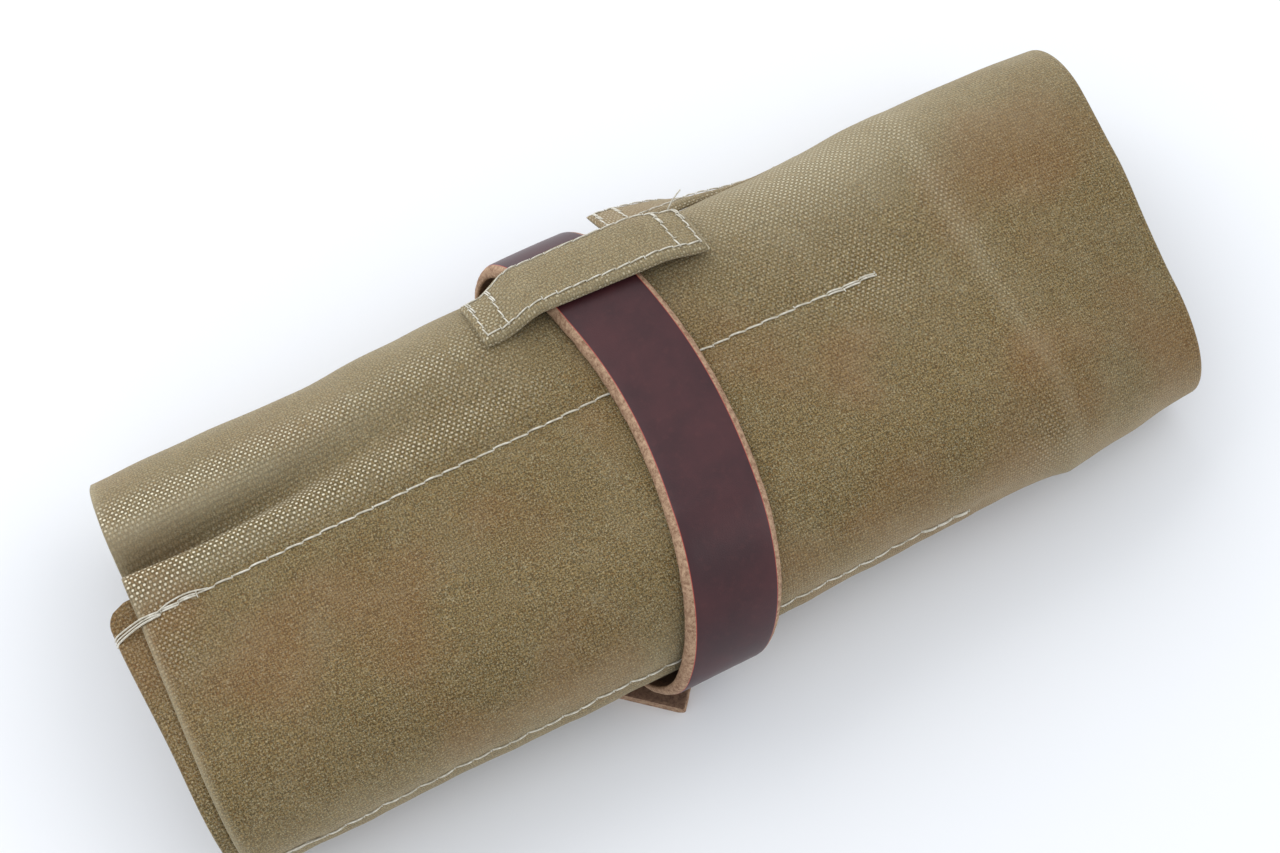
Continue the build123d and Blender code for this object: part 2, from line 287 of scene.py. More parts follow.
def add(tree, kind, *sockets, out=0, **settings):
    """Adds a node; positional values go to its inputs in order, and links stay links."""
    node = tree.nodes.new("ShaderNode" + kind)
    for key, value in settings.items():
        if not key.startswith("in_"):
            setattr(node, key, value)
    named = [(i, v) for i, v in enumerate(sockets) if v is not None]
    named += [(k[3:].replace("_", " "), v) for k, v in settings.items() if k.startswith("in_")]
    for key, value in named:
        socket = node.inputs[key]
        if isinstance(value, bpy.types.NodeSocket):
            tree.links.new(value, socket)
        else:
            socket.default_value = value
    return node.outputs[out]


def maths(tree, operation, a, b=None, c=None, clamp=False):
    return add(tree, "Math", a, b, c, operation=operation, use_clamp=clamp)


def mix(tree, factor, a, b, blend="MIX"):
    node = tree.nodes.new("ShaderNodeMix")
    node.data_type, node.blend_type = "RGBA", blend
    for key, value in ((0, factor), (6, a), (7, b)):
        socket = node.inputs[key]
        if isinstance(value, bpy.types.NodeSocket):
            tree.links.new(value, socket)
        else:
            socket.default_value = value if key == 0 else (*value, 1)
    return node.outputs[2]


def ramp(tree, value, low, high):
    """0 below low, 1 above high."""
    return add(tree, "MapRange", value, low, high, 0.0, 1.0, interpolation_type="SMOOTHSTEP")


def noise_of(tree, vector, scale, detail=3.0, roughness=0.55):
    return add(tree, "TexNoise", vector, in_Scale=scale, in_Detail=detail, in_Roughness=roughness)


def grey(tree, value):
    """A value as a colour with three equal parts."""
    node = tree.nodes.new("ShaderNodeCombineColor")
    for k in range(3):
        tree.links.new(value, node.inputs[k])
    return node.outputs[0]


def surface(tree, colour, roughness, normal, **constants):
    node = tree.nodes.new("ShaderNodeBsdfPrincipled")
    for key, value in (("Base Color", colour), ("Roughness", roughness), ("Normal", normal)):
        if isinstance(value, bpy.types.NodeSocket):
            tree.links.new(value, node.inputs[key])
        elif value is not None:
            node.inputs[key].default_value = value
    for key, value in constants.items():
        node.inputs[key.replace("_", " ")].default_value = value
    output = tree.nodes.new("ShaderNodeOutputMaterial")
    tree.links.new(node.outputs[0], output.inputs[0])


WEAVE = (2.1 * MM, 1.55 * MM)     # two yarns of the duck, round the roll and along it


def canvas_material(name="waxed_canvas"):
    """Heavy duck: plain weave under a waxed nap, heathered, rubbed down to pale dots in places, and
    lightened where wax blooms and where light is painted in.
    """
    material, tree = tree_of(name)
    uv = add(tree, "UVMap", uv_map="cloth")
    place = add(tree, "TexCoord", out=3)
    wander = noise_of(tree, uv, 330.0, 2.0)
    shift = maths(tree, "MULTIPLY", maths(tree, "SUBTRACT", wander, 0.5), 1.7)
    parts = tree.nodes.new("ShaderNodeSeparateXYZ")
    tree.links.new(uv, parts.inputs[0])
    angles = [maths(tree, "MULTIPLY_ADD", parts.outputs[k], 2 * pi / WEAVE[k], shift) for k in (0, 1)]
    su, sv = (maths(tree, "SINE", angle) for angle in angles)
    cross = maths(tree, "MULTIPLY", maths(tree, "MULTIPLY", su, sv), 0.5)
    over = maths(tree, "MULTIPLY_ADD", maths(tree, "ABSOLUTE", su), 0.5, cross)
    under = maths(tree, "SUBTRACT", maths(tree, "MULTIPLY", maths(tree, "ABSOLUTE", sv), 0.5), cross)
    height = maths(tree, "MAXIMUM", over, maths(tree, "MULTIPLY", under, 0.8))

    fuzz = noise_of(tree, place, 3100.0, 2.0, 0.7)
    nap = noise_of(tree, place, 2300.0, 2.0, 0.7)
    slub = noise_of(tree, place, 700.0, 3.0, 0.7)
    haze = noise_of(tree, place, 70.0, 4.0, 0.6)
    stain = noise_of(tree, place, 19.0, 2.0, 0.5)
    bare = noise_of(tree, uv, 240.0, 3.0, 0.7)

    dark, tan = (0.064, 0.043, 0.012), (0.236, 0.166, 0.063)
    olive, rust = (0.112, 0.088, 0.030), (0.225, 0.085, 0.027)
    colour = mix(tree, ramp(tree, nap, 0.39, 0.62), dark, tan)
    colour = mix(tree, maths(tree, "MULTIPLY", ramp(tree, slub, 0.45, 0.7), 0.28), colour, olive)
    red_specks = maths(tree, "MULTIPLY", ramp(tree, fuzz, 0.54, 0.68), 0.5)
    colour = mix(tree, red_specks, colour, rust)
    pale_specks = maths(tree, "MULTIPLY", ramp(tree, fuzz, 0.47, 0.36), 0.55)
    colour = mix(tree, pale_specks, colour, (0.45, 0.405, 0.27))
    colour = mix(tree, maths(tree, "MULTIPLY", ramp(tree, stain, 0.48, 0.66), 0.25), colour, rust)
    shade = maths(tree, "MULTIPLY_ADD", height, 0.50, 0.72)
    colour = mix(tree, 1.0, colour, grey(tree, shade), "MULTIPLY")
    # painted light: this attribute lightens the colour partly for wax bloom and partly in place of light
    # from the back
    bloom_and_painted_light = add(tree, "Attribute", attribute_name="bloom_and_painted_light", out=2)
    haze_bloom_and_painted_light = maths(tree, "MULTIPLY_ADD", ramp(tree, haze, 0.42, 0.78), 0.07,
                  maths(tree, "MULTIPLY", bloom_and_painted_light, 0.42))
    colour = mix(tree, haze_bloom_and_painted_light, colour, (0.50, 0.44, 0.30))
    wear = add(tree, "Attribute", attribute_name="wear", out=2)
    rubbed = maths(tree, "MULTIPLY", wear, ramp(tree, bare, 0.30, 0.52))
    dots = maths(tree, "MULTIPLY", ramp(tree, over, 0.50, 0.78), rubbed, clamp=True)
    gaps = maths(tree, "MULTIPLY", ramp(tree, height, 0.55, 0.25), rubbed, clamp=True)
    colour = mix(tree, maths(tree, "MULTIPLY", gaps, 0.6), colour, (0.085, 0.062, 0.02))
    colour = mix(tree, maths(tree, "MULTIPLY", dots, 0.92), colour, (0.80, 0.74, 0.57))

    bumps = maths(tree, "MULTIPLY_ADD", nap, 0.7, maths(tree, "MULTIPLY", height, 0.8))
    bumps = maths(tree, "MULTIPLY_ADD", fuzz, 0.3, bumps)
    normal = add(tree, "Bump", in_Strength=0.55, in_Distance=0.0003, in_Height=bumps)
    roughness = maths(tree, "MULTIPLY_ADD", dots, -0.2, 0.78)
    surface(tree, colour, roughness, normal, Sheen_Weight=0.42, Sheen_Roughness=0.32,
            Sheen_Tint=(0.92, 0.82, 0.62, 1), Specular_IOR_Level=0.25)
    return material


def thread_material():
    material, tree = tree_of("seam_thread")
    place = add(tree, "TexCoord", out=3)
    tone = noise_of(tree, place, 700.0, 3.0, 0.7)
    colour = mix(tree, ramp(tree, tone, 0.3, 0.75), (0.44, 0.40, 0.31), (0.76, 0.73, 0.64))
    twist = noise_of(tree, place, 3000.0, 2.0)
    normal = add(tree, "Bump", in_Strength=0.5, in_Distance=0.00015, in_Height=twist)
    surface(tree, colour, 0.6, normal, Sheen_Weight=0.2)
    return material


def leather_material():
    """Face, raw edge and flesh side, told apart by the zone attribute (0, 1, 2)."""
    material, tree = tree_of("strap_leather")
    place = add(tree, "TexCoord", out=3)
    zone = add(tree, "Attribute", attribute_name="zone", out=2)
    grain = add(tree, "TexVoronoi", place, in_Scale=1500.0, feature="DISTANCE_TO_EDGE")
    pores = noise_of(tree, place, 2400.0, 3.0, 0.65)
    cloud = noise_of(tree, place, 60.0, 4.0, 0.6)
    mottle = noise_of(tree, place, 420.0, 3.0, 0.65)
    face = mix(tree, ramp(tree, cloud, 0.3, 0.75), (0.034, 0.009, 0.012), (0.058, 0.014, 0.017))
    face = mix(tree, maths(tree, "MULTIPLY", ramp(tree, mottle, 0.5, 0.8), 0.3), face,
               (0.085, 0.022, 0.022))
    fibre = noise_of(tree, place, 900.0, 4.0, 0.8)
    edge = mix(tree, ramp(tree, fibre, 0.3, 0.7), (0.20, 0.105, 0.06), (0.50, 0.335, 0.215))
    flesh = mix(tree, ramp(tree, fibre, 0.3, 0.7), (0.085, 0.045, 0.028), (0.20, 0.115, 0.072))
    red = (0.42, 0.055, 0.04)
    colour = mix(tree, ramp(tree, zone, 0.04, 0.20), face, red)
    colour = mix(tree, ramp(tree, zone, 0.24, 0.42), colour, edge)
    colour = mix(tree, ramp(tree, zone, 1.2, 1.8), colour, flesh)
    raw = ramp(tree, zone, 0.3, 0.6)
    smooth_bumps = maths(tree, "ADD", maths(tree, "MULTIPLY", grain, 0.6),
                         maths(tree, "MULTIPLY", pores, 0.25))
    bumps = mix(tree, raw, grey(tree, smooth_bumps),
                grey(tree, maths(tree, "MULTIPLY", fibre, 3.0)))
    normal = add(tree, "Bump", in_Strength=0.35, in_Distance=0.00012, in_Height=bumps)
    rough = maths(tree, "ADD", maths(tree, "MULTIPLY", raw, 0.5),
                  maths(tree, "ADD", 0.30, maths(tree, "MULTIPLY", cloud, 0.16)))
    surface(tree, colour, rough, normal, Specular_IOR_Level=0.38)
    return material


CANVAS_LOOK = canvas_material()
THREAD_LOOK = thread_material()
LEATHER_LOOK = leather_material()


def finish_piece(obj, look, slot, *nodes, body=None):
    obj.data.materials.append(look)
    if nodes:
        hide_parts(*nodes)
    if body:
        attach(obj, body)
    return obj


# ---------------------------------------------------------------- canvas plies
def wear_at(s, x):
    """0 to 1: where the nap is rubbed off the weave."""
    left = 1 - smooth(-152, -20, x)
    right = bell(x, 60, 32)
    value = 1.1 * bell(s, 56, 4.2) * left ** 0.6 + 1.2 * bell(s, 75, 5.2) * left ** 0.45
    value += 0.5 * bell(s, 48, 13) * right + 0.16 * bell(s, 74, 26) * bell(x, 50, 40)
    value += 0.15 * bell(x, FLAP_EDGE_X, 4) * (1 - smooth(90, 150, s))
    value += 0.18 * bell(s, 150, 12) * bell(x, 84, 12) + 0.35 * bell(s, 88, 14) * bell(x, -137, 6)
    value += 0.30 * bell(s, 60, 14) * bell(x, -48, 16) + 0.2 * bell(s, 88, 10) * bell(x, 62, 12)
    return np.clip(value, 0, 1)


def bloom_and_painted_light_at(s, x):
    """0 to 1: wax bloom on the crease, the ridges and the cut edges, plus painted light: the back-facing
    top band and the valley floor are lightened as if lit from the back.
    """
    left = 1 - smooth(-150, -40, x)
    value = 0.22 * bell(x, FLAP_EDGE_X + 1.5 * np.sin(s / 21), 2.4) * smooth(30, 62, s)
    value += 0.55 * bell(s, 62, 4) * left + 0.5 * bell(s, 79, 3.5) * left
    value += 0.9 * bell(x, -HALF, 1.0) + 0.4 * bell(s, 50, 18) * bell(x, 70, 30)
    # painted light: bell(s, 45, 19) lightens the top-back band and bell(s, 64, 4) the valley floor,
    # standing in for the lamp behind the roll
    value += 0.45 * bell(s, 158, 9) + 0.42 * bell(s, 45, 19) + 0.4 * bell(s, 64, 4) * left
    return np.clip(value, 0, 1)


def shell_profile():
    """(x, depth, normal x, normal depth) along the cut, round the fold to the flap's edge."""
    turn_r = (CANVAS + PLY_GAP) / 2
    fold_x = HALF - CANVAS / 2 - turn_r
    out = lengths((-HALF, 1.2), (-HALF + 6, 2.2), (-20, 2.2), (FLAP_EDGE_X - 20, 2.2), (fold_x, 1))
    turn = np.linspace(0, pi, 9)[1:-1]
    back = lengths((FLAP_EDGE_X, 3.0), (fold_x, 1))[::-1]
    rows = [(x, CANVAS / 2, 0, -1) for x in out]
    rows += [(fold_x + turn_r * sin(a), CANVAS / 2 + turn_r * (1 - cos(a)), sin(a), -cos(a))
             for a in turn]
    rows += [(x, CANVAS / 2 + 2 * turn_r, 0, 1) for x in back]
    return np.array(rows)


def outer_shell():
    profile = shell_profile()
    s = lengths((0, 1.2), (6, 2.3), (48, 1.1), (84, 2.3), (OUTER_TURN + 20, 4.5), (SHEET_LENGTH, 1))
    half_ply = CANVAS / 2
    grids = []
    for side in (1, -1):
        x = profile[:, 0] + side * half_ply * profile[:, 2]
        depth = profile[:, 1] + side * half_ply * profile[:, 3]
        grids.append(roll_point(s[:, None], x[None, :], depth[None, :]))
    cut = np.concatenate([[0], np.cumsum(np.hypot(*np.diff(profile[:, :2], axis=0).T))])
    uv = np.stack(np.broadcast_arrays(s[:, None], cut[None, :]), -1)
    wear = wear_at(s[:, None], np.broadcast_to(profile[:, 0], (len(s), len(profile))))
    # wax bloom plus painted light from the back, per vertex
    bloom_and_painted_light = bloom_and_painted_light_at(s[:, None], np.broadcast_to(profile[:, 0], (len(s), len(profile))))
    obj = closed_sheet("canvas_shell", grids[0], grids[1], uv, {"wear": wear, "bloom_and_painted_light": bloom_and_painted_light})
    return finish_piece(obj, CANVAS_LOOK, "waxed_canvas", "outer_shell", body="roll")


def panel_proud(s):
    """How far the panel stands out of the shell's left edge."""
    return 3.0 + 4.2 * bell(s, PANEL_START, 40) + 0.7 * np.sin(s / 17) * smooth(100, 160, s)


def pocket_panel():
    s = lengths((PANEL_START, 1.2), (PANEL_START + 8, 2.4), (OUTER_TURN + 20, 6.0),
                (SHEET_LENGTH - 1, 1))
    depth = CANVAS + PLY_GAP
    t = np.concatenate([np.linspace(0, 0.05, 9), np.linspace(0.05, 1, 70)[1:]])
    proud = panel_proud(s)
    corner = 5.0 * (1 - np.sqrt(np.clip(1 - (1 - np.clip((s - PANEL_START) / 5.0, 0, 1)) ** 2, 0, 1)))
    left = -HALF - proud + corner
    x = left[:, None] + (PANEL_MOUTH_X - left[:, None]) * t[None, :]
    grids = [roll_point(s[:, None], x, d) for d in (depth, depth + CANVAS)]
    uv = np.stack([np.broadcast_to(s[:, None], x.shape), x], -1)
    wear = 0.08 * (x < -HALF + 2)
    obj = closed_sheet("canvas_pockets", grids[0], grids[1], uv, {"wear": wear, "bloom_and_painted_light": 0 * wear})
    return finish_piece(obj, CANVAS_LOOK, "waxed_canvas", "pocket_panel", body="roll")


# ---------------------------------------------------------------- thread
STITCH_PITCH = 4.8
BACKSTITCH = 3 * STITCH_PITCH    # sewn twice at both ends of a seam
SEAM_ENDS = (63.0, 58.0, 61.0)   # where the seams stop, in turn
THREAD_R = 0.26


def thread_tube(points, normals, radius, rings=7):
    """Closed tube along points, with round ends."""
    points, normals = np.asarray(points), np.asarray(normals)
    along = np.gradient(points, axis=0)
    along /= np.linalg.norm(along, axis=1, keepdims=True)
    side = np.cross(along, normals)
    side /= np.linalg.norm(side, axis=1, keepdims=True)
    up = np.cross(side, along)
    angle = np.linspace(0, 2 * pi, rings, endpoint=False)
    radius = np.broadcast_to(radius, len(points))
    ring = (np.cos(angle)[None, :, None] * side[:, None] + np.sin(angle)[None, :, None] * up[:, None])
    body = points[:, None] + ring * radius[:, None, None]
    count = len(points) * rings
    faces = [tuple(f) for f in grid_faces(len(points), rings, wrap=True)]
    tips = np.array([points[0] - along[0] * radius[0] * 0.6, points[-1] + along[-1] * radius[-1] * 0.6])
    for j in range(rings):
        k = (j + 1) % rings
        faces.append((count, k, j))
        faces.append((count + 1, count - rings + j, count - rings + k))
    return np.concatenate([body.reshape(-1, 3), tips]), faces


def joined(parts):
    points, faces, start = [], [], 0
    for part_points, part_faces in parts:
        points.append(part_points)
        faces += [tuple(start + i for i in f) for f in part_faces]
        start += len(part_points)
    return np.concatenate(points), faces


def stitch_run(place, start, end, rng, radius=THREAD_R, pitch=STITCH_PITCH, lift=0.34):
    """Stitches along place(t), t in mm from start to end, each dipping into its needle holes."""
    parts = []
    count = max(1, round((end - start) / pitch))
    holes = np.linspace(start, end, count + 1)
    for a, b in zip(holes, holes[1:]):
        t = np.linspace(a + 0.15, b - 0.1, 9)
        points, normals, side = place(t)
        arc = np.sin(np.linspace(0, pi, 9)) ** 0.35
        slant = np.linspace(-0.2, 0.2, 9) + rng.uniform(-0.07, 0.07)
        high = lift * arc - 0.1 * (1 - arc)
        points = points + normals * high[:, None] + side * slant[:, None]
        parts.append(thread_tube(points, normals, radius * (0.72 + 0.28 * arc)))
        knot, normal, across = (v[0] for v in place(np.array([b])))
        tail = across * rng.uniform(-1.0, 1.0) + normal * 0.1
        base = knot + normal * 0.05
        bead = [base - tail * 0.35, base + normal * 0.22, base + tail * rng.uniform(0.5, 1.1)]
        parts.append(thread_tube(bead, [normal] * 3, [radius * 0.5, radius * 0.85, radius * 0.35], 6))
    return parts


def strand(points, radius, steps=6):
    """Smooth thread through a few points in mm."""
    p = np.asarray(points, float)
    p = np.concatenate([[2 * p[0] - p[1]], p, [2 * p[-1] - p[-2]]])
    t = np.linspace(0, 1, steps, endpoint=False)[:, None]
    path = [0.5 * (2 * b + (c - a) * t + (2 * a - 5 * b + 4 * c - d) * t ** 2
                   + (3 * b - a - 3 * c + d) * t ** 3)
            for a, b, c, d in zip(p, p[1:], p[2:], p[3:])]
    path = np.concatenate(path + [p[-2][None]])
    return thread_tube(path, np.tile([0.13, 0.31, 0.94], (len(path), 1)), radius, 6)


def seam_tail(s, rng, strands):
    """Threads that run off the shell's edge and hold the panel's edge behind it."""
    parts = []
    for k in range(strands):
        off = 0.9 * (k - (strands - 1) / 2)
        start = roll_point(s + off * 0.6, -HALF + 3.0 + k, -0.35)
        edge = roll_point(s + off * 0.8, -HALF - 0.3, -0.4)
        edge_x = -HALF - panel_proud(s)
        reach = roll_point(s + 0.8 + off, edge_x + 0.8, CANVAS - 0.1)
        under = roll_point(s + 1.4 + off, edge_x - 0.6, CANVAS + 1.2)
        parts.append(strand([start, edge, reach, under], THREAD_R * rng.uniform(0.8, 1.1)))
    return parts


def along_seam(s, depth, facing):
    def place(x):
        point = roll_point(np.full_like(x, s), x, depth)
        normal = roll_normal(np.full_like(x, s), x) * facing
        step = roll_point(np.full_like(x, s + 0.5), x, depth) - point
        return point, normal, step / np.linalg.norm(step, axis=1, keepdims=True)
    return place


def divider_seams():
    inner_depth = 2 * CANVAS + PLY_GAP
    for k, s in enumerate(SEAMS):
        rng = np.random.default_rng(20 + k)
        end = SEAM_ENDS[k % 3]
        parts = stitch_run(along_seam(s, 0.0, 1), -HALF + 0.5, end, rng)
        parts += stitch_run(along_seam(s, inner_depth, -1), -HALF - 3, end, rng)
        parts += stitch_run(along_seam(s + 0.7, 0.0, 1), end - BACKSTITCH, end, rng)
        parts += stitch_run(along_seam(s - 0.6, 0.0, 1), -HALF + 0.5, -HALF + 0.5 + BACKSTITCH, rng)
        parts += seam_tail(s, rng, 3) if k < 3 else []
        bow = [roll_point(s - b, -HALF + a, -0.45) for a, b in ((4, 0.2), (8, 1.3), (13, 1.2), (18, 0.1))]
        parts.append(strand(bow, THREAD_R * 0.8))
        obj = mesh_object(f"stitches_divider_{k + 1}", *joined(parts))
        finish_piece(obj, THREAD_LOOK, "seam_thread", f"divider_seam_{k + 1}", body="roll")


def edge_seams():
    rng = np.random.default_rng(50)
    for name, s, right, depth in (("free_edge_stitches", 4.0, HALF - 1, CANVAS),
                                  ("core_edge_stitches", SHEET_LENGTH - 4, 63.0,
                                   2 * CANVAS + PLY_GAP)):
        parts = stitch_run(along_seam(s, 0.0, 1), -HALF + 1, right, rng)
        parts += stitch_run(along_seam(s, depth, -1), -HALF + 1, min(right, FLAP_EDGE_X - 1), rng)
        obj = mesh_object(name.replace("stitches", "thread"), *joined(parts))
        finish_piece(obj, THREAD_LOOK, "seam_thread", name, body="roll")


# ---------------------------------------------------------------- keepers
KEEPER_LENGTH, KEEPER_WIDTH, KEEPER_THICK = 63.5, 19.0, 2.1
TAB_HIGH, TAB_LOW, TAB_DROP = radians(39), radians(3), radians(37)
TOP_KEEPER_ANGLE, TOP_KEEPER_TURN = 44.5, 1.5   # its right end sits this much further front
TOP_KEEPER_X, BACK_KEEPER_X = -4.5, 41.5        # their middles


def s_of_angle(degrees_up):
    return (radians(degrees_up) - FREE_EDGE_ANGLE) * BACK_R


def keeper_loop(a, b):
    """Where the top keeper's underside lies, a and b mm from its middle and back edge."""
    left = smooth(-27.5, -15, a)
    right = 1 - 0.72 * smooth(17, KEEPER_LENGTH / 2, a)
    height = (4.4 + 0.8 * smooth(12, KEEPER_WIDTH, b)) * left * right + 0.15
    return s_of_angle(TOP_KEEPER_ANGLE) + b + TOP_KEEPER_TURN * smooth(-32, 32, a), height


def leaning_tab(a, b):
    """The spare keeper hangs from its upper edge and stands straight out at its left end."""
    down = KEEPER_WIDTH - b
    edge = TAB_HIGH + (TAB_LOW - TAB_HIGH) * smooth(-38, 24, a)
    y = BACK_R * np.cos(edge) + down * cos(TAB_DROP)
    z = BACK_R * np.sin(edge) - down * sin(TAB_DROP)
    out = np.clip((16 - a) / 48, 0, 1) ** 0.5
    s_out = (np.arctan2(z, y) - FREE_EDGE_ANGLE) * BACK_R
    s_close = (edge - FREE_EDGE_ANGLE) * BACK_R - down
    return out * s_out + (1 - out) * s_close, out * (np.hypot(y, z) - BACK_R) + 0.1


def keeper_puff(b):
    """Half the keeper's thickness: fullest along the folded front edge."""
    return KEEPER_THICK / 2 * (1 + 0.8 * bell(b, KEEPER_WIDTH, 2.6))


def keeper(name, node, centre_x, shape, seed):
    """Folded strip over the roll's back bend; returns its top face as a function."""
    def top(a, b, lift=0.0):
        s, height = shape(a, b)
        return roll_point(s, centre_x + a, -(height + KEEPER_THICK / 2 + keeper_puff(b) + lift))

    a = lengths((-KEEPER_LENGTH / 2, 0.7), (-KEEPER_LENGTH / 2 + 3, 1.3), (KEEPER_LENGTH / 2 - 3, 0.7),
                (KEEPER_LENGTH / 2, 1))
    loop = np.linspace(0, 2 * pi, 56, endpoint=False)
    b = KEEPER_WIDTH / 2 * (1 - np.sign(np.cos(loop)) * np.abs(np.cos(loop)) ** 0.45)
    d = np.sign(np.sin(loop)) * np.abs(np.sin(loop)) ** 0.75
    end = np.clip((KEEPER_LENGTH / 2 - np.abs(a)) / 1.6, 0, 1)
    round_end = np.sqrt(1 - (1 - end) ** 2) * 0.6 + 0.4
    aa, bb = np.meshgrid(a, b, indexing="ij")
    dd = (d * keeper_puff(b))[None, :] * round_end[:, None]
    wobble = 0.16 * waves(aa * 2, bb * 2, seed, 30)
    s, height = shape(aa, bb)
    points = roll_point(s, centre_x + aa, -(height + KEEPER_THICK / 2 + dd + wobble))
    uv = np.stack([bb + dd * 1.6, aa], -1).reshape(-1, 2)
    rows, columns = aa.shape
    faces = [tuple(f) for f in grid_faces(rows, columns, wrap=True, flip=True)]
    faces.append(tuple(range(columns)))
    faces.append(tuple((rows - 1) * columns + j for j in range(columns - 1, -1, -1)))
    rub = np.exp(-(np.minimum(bb, KEEPER_WIDTH - bb) / 1.8) ** 2)
    wear = 0.06 + 0.45 * rub + 0.35 * (1 - smooth(0, 14, KEEPER_LENGTH / 2 + aa))
    obj = mesh_object(name, points.reshape(-1, 3), faces, uv, {"wear": wear, "bloom_and_painted_light": 0.4 + 0.3 * rub})
    finish_piece(obj, CANVAS_LOOK, "waxed_canvas", node, body="roll")
    return top


LOOSE_THREAD = np.array([(0, 0, 0), (0.9, 0.3, 1.6), (2.2, 0.7, 3.4), (4.2, 1.0, 5.6)])


def keeper_thread(name, node, top, seed, loose_end=False):
    rng = np.random.default_rng(seed)

    def row(fixed, across):
        def place(t):
            a, b = (np.full_like(t, fixed), t) if across else (t, np.full_like(t, fixed))
            point = top(a, b)
            normal = top(a, b, 0.5) - point
            ahead = top(a + (0.0 if across else 0.3), b + (0.3 if across else 0.0)) - point
            normal /= np.linalg.norm(normal, axis=1, keepdims=True)
            side = np.cross(normal, ahead)
            return point, normal, side / np.linalg.norm(side, axis=1, keepdims=True)
        return place

    half = KEEPER_LENGTH / 2
    parts = []
    for b in (2.2, KEEPER_WIDTH - 2.2):
        parts += stitch_run(row(b, False), -half + 1.5, half - 1.5, rng, 0.21, 4.1, 0.18)
    for a in (-half + 1.6, -half + 7.6, half - 7.6, half - 1.6):
        parts += stitch_run(row(a, True), 1.8, KEEPER_WIDTH - 1.8, rng, 0.21, 3.4, 0.18)
        parts += stitch_run(row(a + 0.5, True), 1.8, 8.0, rng, 0.22, 3.1, 0.22)
    if loose_end:
        root = top(np.array([half - 2.5]), np.array([1.5]))[0]
        parts.append(strand([root + offset for offset in LOOSE_THREAD], 0.2))
    obj = mesh_object(name, *joined(parts))
    finish_piece(obj, THREAD_LOOK, "seam_thread", node, body="roll")


# ---------------------------------------------------------------- strap
STRAP_W, STRAP_T = 25.4, 3.2
STRAP_GAP = 0.8
FRONT_ARCH_R, SHOULDER = 28.0, radians(110)
BACK_ARCH_R, LEAVE = 36.0, radians(50)
HOOK_END = radians(258)
TOP_X = -1.8
FRONT_DRIFT, FRONT_SPAN, BACK_DRIFT = -29.0, 150.0, -13.2


def strap_path():
    front_z, back_z = FRONT_R + ARCH_RISE, BACK_Z + ARCH_RISE
    shoulder_r, heel_r = FRONT_R + STRAP_GAP, BACK_R + STRAP_GAP
    front_y = FRONT_Y + (shoulder_r - FRONT_ARCH_R) * cos(SHOULDER)
    arch_z = front_z + (shoulder_r - FRONT_ARCH_R) * sin(SHOULDER)
    hook_z = 2 * STRAP_T + STRAP_GAP
    curl_r = arch_z - hook_z
    curl_y = front_y - FRONT_ARCH_R + curl_r
    back_y = BACK_Y + (heel_r - BACK_ARCH_R) * cos(LEAVE)
    drop_z = back_z + (heel_r - BACK_ARCH_R) * sin(LEAVE)
    base_r = drop_z - STRAP_T
    base_y = back_y + BACK_ARCH_R - base_r
    return [("arc", curl_y, arch_z, curl_r, HOOK_END, pi),
            ("arc", front_y, arch_z, FRONT_ARCH_R, pi, SHOULDER),
            ("arc", FRONT_Y, front_z, shoulder_r, SHOULDER, pi / 2),
            ("run", FRONT_Y, BACK_Y, front_z + shoulder_r, 1),
            ("arc", BACK_Y, back_z, heel_r, pi / 2, LEAVE),
            ("arc", back_y, drop_z, BACK_ARCH_R, LEAVE, 0.0),
            ("arc", base_y, drop_z, base_r, 0.0, -pi / 2)]


STRAP_PATH = strap_path()


def piece_length(piece):
    return abs(piece[2] - piece[1]) if piece[0] == "run" else abs(piece[5] - piece[4]) * piece[3]


STOPS = np.concatenate([[0], np.cumsum([piece_length(p) for p in STRAP_PATH])])
STRAP_END = STOPS[-1]
TOP_S, HEEL_S, DROP_S, BASE_S = STOPS[3:7]     # where the last four pieces of its path start
BASE_R = STRAP_PATH[6][3]
CREST_S = TOP_S + 36.0
KEEPER_S = HEEL_S + 12.0
STRAIGHT_S = BASE_S + radians(50) * BASE_R
BACK_SPRING, SPRING_S = 2.6, DROP_S + 14.0     # the strap stands off where it leaves the keeper


def girth_point(s):
    s = float(np.clip(s, 0, STRAP_END))
    i = min(int(np.searchsorted(STOPS, s, side="right")) - 1, len(STRAP_PATH) - 1)
    piece, t = STRAP_PATH[i], s - STOPS[i]
    if s < CREST_S:
        x = TOP_X + FRONT_DRIFT * (1 - cos(pi * (CREST_S - s) / FRONT_SPAN)) / 2
    else:
        fall = min(1, (s - CREST_S) / (STRAIGHT_S - CREST_S))
        x = TOP_X + BACK_DRIFT * (1 - cos(pi * fall)) / 2
    if piece[0] == "run":
        return np.array([x + MID_X, piece[1] + piece[4] * t, piece[3]]), np.array([0, 0, piece[4]])
    a = piece[4] - t / piece[3]
    r = piece[3] + BACK_SPRING * float(bell(s, SPRING_S, 15))
    return (np.array([x + MID_X, piece[1] + r * cos(a), piece[2] + r * sin(a)]),
            np.array([0, cos(a), sin(a)]))


TAIL_END = np.array([-37.8 + MID_X, MID_Y - 56.3 + 3.25, STRAP_T])
TAIL_HEADING = radians(42)


def table_point(t):
    """Strap on the table, from the back bend (0) to the square end (1)."""
    start, end = girth_point(STRAP_END)[0], TAIL_END
    reach = np.linalg.norm(end - start) / 3
    c0 = start + np.array([0, -1, 0]) * reach
    c1 = end - np.array([-sin(TAIL_HEADING), -cos(TAIL_HEADING), 0]) * reach
    point = start * (1 - t) ** 3 + c0 * 3 * t * (1 - t) ** 2 + c1 * 3 * t * t * (1 - t) + end * t ** 3
    return point, np.array([0, 0, -1.0])


TABLE_LENGTH = float(np.linalg.norm(table_point(1)[0] - table_point(0)[0]))


def strap_point(s):
    """Flesh face's centre line and outward normal, from the tucked end to the tail."""
    if s <= STRAP_END:
        return girth_point(s)
    return table_point(min(1, (s - STRAP_END) / TABLE_LENGTH))


